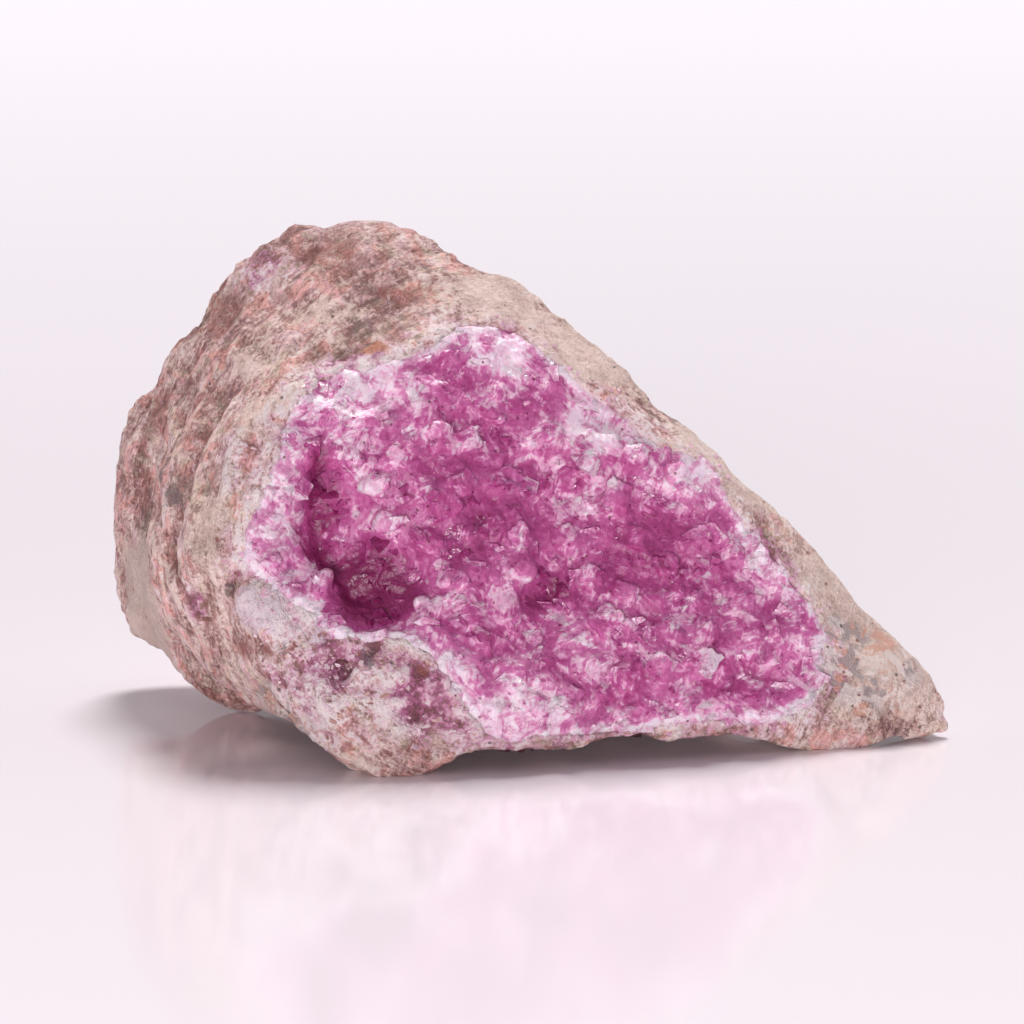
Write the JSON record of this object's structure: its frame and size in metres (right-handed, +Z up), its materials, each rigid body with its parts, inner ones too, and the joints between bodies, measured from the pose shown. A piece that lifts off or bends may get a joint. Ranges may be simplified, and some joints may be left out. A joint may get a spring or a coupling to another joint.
{
  "type": "cobaltoan calcite specimen",
  "caption": "Loose wedge of layered host rock whose leaning open face carries a druse of pink calcite crystals; rests on its broken underside.",
  "frame": {"origin": "under the middle of the specimen, on the surface that it rests on", "axes": "+X along the length towards the pointed end, +Y away from the open crystal face, +Z up"},
  "size_m": [0.0882, 0.0458, 0.0519],
  "materials": {
    "rock": "rough broken limestone, layered tan, mauve-brown and cream",
    "calcite": "translucent magenta-pink calcite crystals with pale tips and small glints"
  },
  "bodies": {
    "root": {"host_rock": "rock", "calcite_crust": "calcite"}
  },
  "joints": []
}
